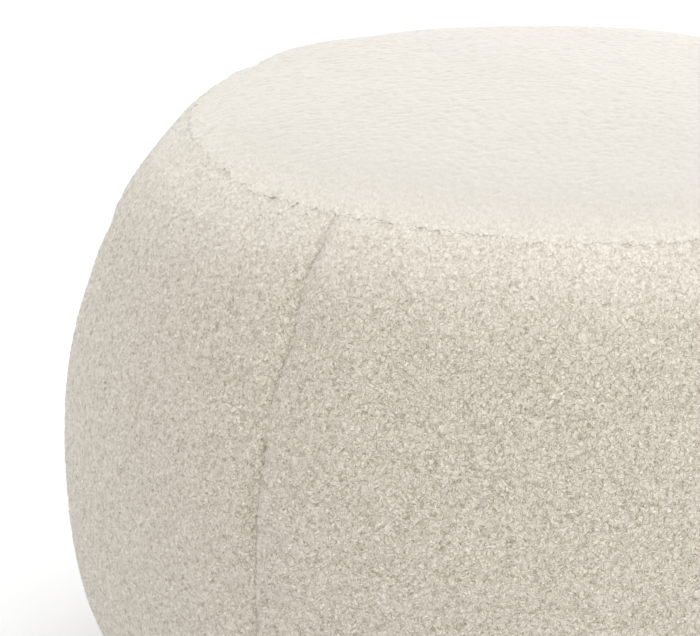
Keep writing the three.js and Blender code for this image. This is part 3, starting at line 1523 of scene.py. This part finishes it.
@dataclass(frozen=True)
class PileCloth:
    """Matt cream cloth of winding, curly strands in nodules, with painted shade between them.

    Attributes:
        turn: Turn of the noises' grid, so that no side of the body lies along it.
        tip: Colour of the strands.
        shoulder_lit_colour: Painted light from above: their colour where the pile lies half closed,
            and its upper side shows most.
        crown_lit_colour: Painted light from above: their colour where the pile lies closed, whiter
            than the open pile's.
        root: Painted shade: the dark colour in the gaps and creases between them.
        glint: Painted highlight: the colour of the few fibres that catch the light.
        glints: Spacing of those fibres, how steeply they light up, and from which noise value.
        glint_share: How much of the painted highlight's colour they take on.
        nodule: Spacing of the nodules.
        nodule_edge: How steeply a nodule rises out of the gaps.
        nodule_gap: Value of the nodules' noise below which there is a gap in painted shade.
        strand: Spacing of the wide strands.
        fine_strand: Spacing of the fine strands on them.
        fineness: Share of a strand's height that its fine strands make.
        crease: How narrow the creases between strands are, in the bump and in the painted shade.
        swirl: How far strands are bent out of their line, by noise of the size after it.
        twist: How far fine strands are bent besides, by noise of the size after it.
        rise: Height of a strand above its creases.
        grain: Spacing of the grain, and its contrast.
        speckle: Spacing of the faint speckle where the pile lies closed, and its contrast.
        brushed: How much longer that speckle is from front to back.
        clouds: Spacing of slow clouds over the whole cloth, and how much they change its colour.
        shares: How much the colour follows the nodules, the strands and the grain, over painted
            shade.
        shade_by_depth: How much painted shade the colour takes towards the roots, by the depth in
            the pile.
        calm: Share of the strands' height that goes where the pile lies closed.
        closed_shade_lift: Share of the gaps that hides there, which lifts their painted shade and
            paints the closed pile lighter.
        sheen: Share of light that loose fibres scatter at a glancing angle.
        sheen_spread: How far from the glancing angle they still do so.
    """

    turn: Triple = (0.7, 0.4, 0.5)
    tip: Colour = (0.64, 0.592, 0.508, 1)
    shoulder_lit_colour: Colour = (0.885, 0.855, 0.785, 1)
    crown_lit_colour: Colour = (0.59, 0.566, 0.535, 1)
    # The root colour is painted shade in the gaps and creases of the pile.
    root: Colour = (0.254, 0.21, 0.13, 1)
    glint: Colour = (1, 0.97, 0.92, 1)
    glints: Triple = (0.9 * MM, 14.0, 0.6)
    glint_share: float = 0.39
    nodule: float = 2.2 * MM
    nodule_edge: float = 8.0
    nodule_gap: float = 0.38
    strand: float = 2.0 * MM
    fine_strand: float = 1.0 * MM
    fineness: float = 0.55
    crease: float = 15.0
    swirl: tuple[float, float] = (4.5 * MM, 3.0 * MM)
    twist: tuple[float, float] = (0.8 * MM, 1.3 * MM)
    rise: float = 0.28 * MM
    grain: tuple[float, float] = (0.8 * MM, 2.5)
    speckle: tuple[float, float] = (1.3 * MM, 2.2)
    brushed: float = 3.0
    clouds: tuple[float, float] = (45 * MM, 0.06)
    shares: Triple = (0.43, 0.65, 0.21)
    shade_by_depth: float = 0.29
    calm: float = 0.84
    closed_shade_lift: float = 0.86
    sheen: float = 0.95
    sheen_spread: float = 0.42

    def _strands(self, g: Graph, swirl: Wire, twist: Wire) -> Wire:
        """Height of the strands, from 0 in the creases between them to 1.

        Creases run where a noise passes its middle value, and the strands are what lies between
        them: each is a constant times the noise's distance from that value, kept below 1.

        Args:
            g: The material's nodes.
            swirl: Bent places, for the wide strands.
            twist: Places that are bent further, for the fine ones.

        Returns:
            The height.
        """
        wide = (self.crease * abs(g.noise(swirl, self.strand, 0.0) - 0.5)).clamped()
        fine = (self.crease * abs(g.noise(twist, self.fine_strand, 0.0) - 0.5)).clamped()
        return wide * (1 - self.fineness + self.fineness * fine)

    def _painted_tip_light(self, g: Graph, twist: Wire, closed: Wire) -> Wire:
        """Colour of the tips, and painted highlights on fibres that catch the light in open pile.

        It goes from the open pile's colour over the shoulder's to the crown's as the pile closes,
        which paints light from above.

        Args:
            g: The material's nodes.
            twist: Places that are bent further.
            closed: How far the pile lies closed.

        Returns:
            The colour.
        """
        # Painted light from above: the tips are lighter on the shoulder and whiter on the crown.
        tips = g.mix((2 * closed).clamped(), self.tip, self.shoulder_lit_colour)
        tips = g.mix((2 * closed - 1).clamped(), tips, self.crown_lit_colour)
        # Painted highlights on a few fibres, where the pile is open.
        size, edge, level = self.glints
        glint = (edge * (g.noise(twist, size, 0.0) - level)).clamped()
        return g.mix(self.glint_share * glint * (1 - closed), tips, self.glint)

    def _share(self, g: Graph, spots: tuple[Wire, ...], strand: Wire, closed: Wire) -> Wire:
        """Where the colour lies between the painted shade of the root and the tip.

        Nodules are where a noise lies above the gap value, and the gaps below it take painted
        shade.
        The share is a weighted sum of nodules, strands and grain, times the depth in the pile,
        which paints shade towards the roots. Where the pile lies closed, faint speckle takes their
        place, and most of what is missing to the tip's colour is made good, which lifts the painted
        shade.

        Args:
            g: The material's nodes.
            spots: Object places, turned ones, bent ones, and ones that are bent further.
            strand: Height of the strands.
            closed: How far the pile lies closed.

        Returns:
            The share, from 0 to 1.
        """
        place, spot, swirl, twist = spots
        by_nodule, by_strand, by_grain = self.shares
        nodule = self.nodule_edge * (g.noise(swirl, self.nodule, 1.0) - self.nodule_gap)
        size, contrast = self.grain
        grain = (contrast * (g.noise(twist, size, 0.0) - 0.5) + 0.5).clamped()
        share = by_nodule * nodule.clamped() + by_strand * strand + by_grain * grain
        # Painted shade: the colour darkens towards the roots of the curls and in the seams.
        depth = g.node("ShaderNodeAttribute", {"attribute_name": "depth_shade"}, out="Fac")
        share = share * (1 - self.shade_by_depth + self.shade_by_depth * depth)
        size, contrast = self.clouds
        share = (share + contrast * (g.noise(spot, size, 2.0) - 0.5)).clamped()
        stretch = (1.0, 1 / self.brushed, 1.0)
        combed = g.node("ShaderNodeMapping", {}, Vector=place, Scale=stretch)
        size, contrast = self.speckle
        speckle = contrast * (g.noise(combed, size, 2.0) - 0.5) + 0.5
        share = share + closed * (speckle.clamped() - share)
        return share + self.closed_shade_lift * closed**1.5 * (1 - share)

    def material(self, name: str) -> bpy.types.Material:
        """Makes the cloth of one panel.

        The colour lies between root and tip, and the strands' height is a bump. The root is painted
        shade in the gaps, and the tips are painted lighter where the pile lies closed. The strands'
        places are bent by broad noise, and those of the fine ones by finer noise besides.

        Args:
            name: Name of the material.

        Returns:
            The material.
        """
        material, g = new_material(name)
        place = g.node("ShaderNodeTexCoord", {}, out="Object")
        spot = g.node("ShaderNodeMapping", {}, Vector=place, Rotation=self.turn)
        shift, size = self.swirl
        swirl = g.moved(spot, g.noise(spot, size, 1.0, "Color"), shift)
        shift, size = self.twist
        twist = g.moved(swirl, g.noise(spot, size, 0.0, "Color"), shift)
        # How far the pile lies closed, by which the colour paints light from above.
        closed = g.node("ShaderNodeAttribute", {"attribute_name": "closed_toplight"}, out="Fac")
        strand = self._strands(g, swirl, twist)
        height = strand * (self.rise * (1 - self.calm * closed))
        bump = g.node("ShaderNodeBump", {}, Strength=1.0, Distance=1.0, Height=height)
        share = self._share(g, (place, spot, swirl, twist), strand, closed)
        g.finish(
            Base_Color=g.mix(share, self.root, self._painted_tip_light(g, twist, closed)),
            Roughness=0.95,
            Specular_IOR_Level=0.15,
            Sheen_Weight=self.sheen,
            Sheen_Roughness=self.sheen_spread,
            Sheen_Tint=(1.0, 0.98, 0.96, 1.0),
            Normal=bump,
        )
        return material


@dataclass(frozen=True)
class StudioPaper:
    """Matt white paper of the studio's floor.

    Attributes:
        shade: Its colour.
        roughness: Its least roughness, and how much it varies above that.
        patches: Size of the patches over which it does.
    """

    shade: Colour = (0.885, 0.90, 0.93, 1)
    roughness: tuple[float, float] = (0.85, 0.1)
    patches: float = 0.6

    def material(self) -> bpy.types.Material:
        """Makes the paper, with a slow, faint unevenness of its roughness.

        Returns:
            The material.
        """
        material, g = new_material("studio_paper")
        least, more = self.roughness
        place = g.node("ShaderNodeTexCoord", {}, out="Object")
        rough = least + more * g.noise(place, self.patches, 1.0)
        g.finish(Base_Color=self.shade, Roughness=rough, Specular_IOR_Level=0.1)
        return material


# ---- Studio ----


class LightRole(Enum):
    """The studio's lights."""

    OVERHEAD = "overhead"
    FRONT = "front"


@dataclass(frozen=True)
class SoftLight:
    """A square, white light panel that faces a point.

    Attributes:
        role: Which of the studio's lights it is.
        place: Where it hangs.
        size: Length of its side.
        power: Its power, in watts.
        target: The point that it faces.
    """

    role: LightRole
    place: Triple
    size: float
    power: float
    target: Triple = (0, 0, 0.2)

    def build(self) -> None:
        """Hangs the light."""
        data = bpy.data.lights.new(self.role.value, "AREA")
        data.shape, data.size, data.energy = "SQUARE", self.size, self.power
        light = bpy.data.objects.new(self.role.value, data)
        aim = Vector(self.target) - Vector(self.place)
        turn = aim.to_track_quat("-Z", "Y").to_matrix().to_4x4()
        light.matrix_world = Matrix.Translation(self.place) @ turn
        bpy.context.scene.collection.objects.link(light)


@dataclass(frozen=True)
class Viewpoint:
    """A camera on a long lens, looking a little down on the ottoman.

    Attributes:
        place: Where the camera stands.
        target: The point at the middle of its view.
        roll: How far it leans over, right side up, in degrees.
        lens: Focal length in millimetres, on a sensor 36 mm wide.
    """

    place: Triple = (0.0, -2.6193, 1.0693)
    target: Triple = (-0.1198, 0.0, 0.2237)
    roll: float = 1.43
    lens: float = 254.2

    def build(self) -> None:
        """Sets up the camera and makes it the scene's."""
        data = bpy.data.cameras.new("studio_camera")
        data.sensor_width, data.lens = 36.0, self.lens
        data.clip_start, data.clip_end = 0.1, 50.0
        camera = bpy.data.objects.new("studio_camera", data)
        ahead = (Vector(self.target) - Vector(self.place)).normalized()
        level = ahead.cross(Vector((0, 0, 1))).normalized()
        upward = level.cross(ahead)
        lean = math.radians(self.roll)
        right = level * math.cos(lean) + upward * math.sin(lean)
        up = upward * math.cos(lean) - level * math.sin(lean)
        turn = Matrix((right, up, -ahead)).transposed().to_4x4()
        camera.matrix_world = Matrix.Translation(self.place) @ turn
        bpy.context.scene.collection.objects.link(camera)
        bpy.context.scene.camera = camera


@dataclass(frozen=True)
class Studio:
    """White paper floor, soft white light and the camera.

    Attributes:
        view: The camera.
        paper: Finish of the floor.
        lights: The light panels.
        surround: Strength of the light from all round.
        behind: Share by which it is stronger straight behind the ottoman.
        overhead: Strength that it gains straight overhead.
        surround_colour: Colour of the light from all round.
        white: Colour of what it gains overhead, and of what shows beyond the floor.
        floor_size: Half the side of the floor.
    """

    view: Viewpoint = Viewpoint()
    paper: StudioPaper = StudioPaper()
    lights: tuple[SoftLight, ...] = (
        SoftLight(LightRole.OVERHEAD, (0.3, -0.3, 2.4), 2.4, 4.0),
        SoftLight(LightRole.FRONT, (2.4, -2.0, 1.2), 1.6, 20.5),
    )
    surround: float = 1.03
    behind: float = 0.3
    overhead: float = 0.3
    surround_colour: Colour = (1, 0.985, 0.95, 1)
    white: Colour = (1.0, 1.0, 1.0, 1.0)
    floor_size: float = 30.0

    def build(self) -> None:
        """Builds the floor, the lights, the surround and the camera."""
        edge = self.floor_size
        points = np.array([(-edge, -edge, 0), (edge, -edge, 0), (edge, edge, 0), (-edge, edge, 0)])
        floor = mesh_piece("studio_floor", points, [np.array([[0, 1, 2, 3]])])
        floor.data.materials.append(self.paper.material())
        for light in self.lights:
            light.build()
        self.build_surround()
        self.view.build()
        bpy.context.scene.view_settings.view_transform = "Standard"

    def build_surround(self) -> None:
        """Lights the scene from all round, and shows plain white beyond the floor."""
        world = bpy.data.worlds.new("studio_surround")
        world.use_nodes = True
        bpy.context.scene.world = world
        g = Graph(world.node_tree)
        seen = g.node("ShaderNodeLightPath", {}, out="Is Camera Ray")
        direction = g.node("ShaderNodeTexCoord", {}, out="Generated")
        height = g.node("ShaderNodeSeparateXYZ", {}, direction, out="Z").clamped()
        back = g.node("ShaderNodeSeparateXYZ", {}, direction, out="Y").clamped()
        lights = (
            (self.surround_colour, self.surround * (1 + self.behind * back)),
            (self.white, self.overhead * height**2.0),
            (self.white, 1.0),
        )
        low, high, plain = (g.node("ShaderNodeBackground", {}, *light) for light in lights)
        glow = g.node("ShaderNodeAddShader", {}, low, high)
        both = g.node("ShaderNodeMixShader", {}, seen, glow, plain)
        g.node("ShaderNodeOutputWorld", {}, both)


# ---- The ottoman ----


@dataclass
class RoundOttoman:
    """The whole ottoman, panel by panel.

    Attributes:
        form: Form of its body.
        pile: Relief of its pile.
        cloth: Finish of its panels.
    """

    form: StuffedForm = field(default_factory=StuffedForm)
    pile: CurlyPile = field(default_factory=CurlyPile)
    cloth: PileCloth = PileCloth()

    def panels(self) -> list[PaddedPanel]:
        """The panels in the order in which they are made: top, sides and base.

        Returns:
            The panels.
        """
        form, pile = self.form, self.pile
        form = replace(form, swell=StuffedSkin(form).swell())
        sides = [
            SidePanel(form, pile, f"side_panel_{i + 1}", index=i) for i in range(form.side_panels)
        ]
        return [TopPanel(form, pile, "top_panel"), *sides, BasePanel(form, pile, "base_panel")]

    def build(self) -> None:
        """Builds and dresses every panel."""
        for panel in self.panels():
            piece = panel.build()
            piece.data.materials.append(self.cloth.material(f"{panel.node}_pile"))
            log.info("%s: %d points", piece.name, len(piece.data.vertices))


def main() -> None:
    """Builds the studio and the ottoman."""
    logging.basicConfig(level=logging.INFO, format="%(name)s: %(message)s", stream=sys.stdout)
    Studio().build()
    RoundOttoman().build()


if __name__ == "__main__":
    main()
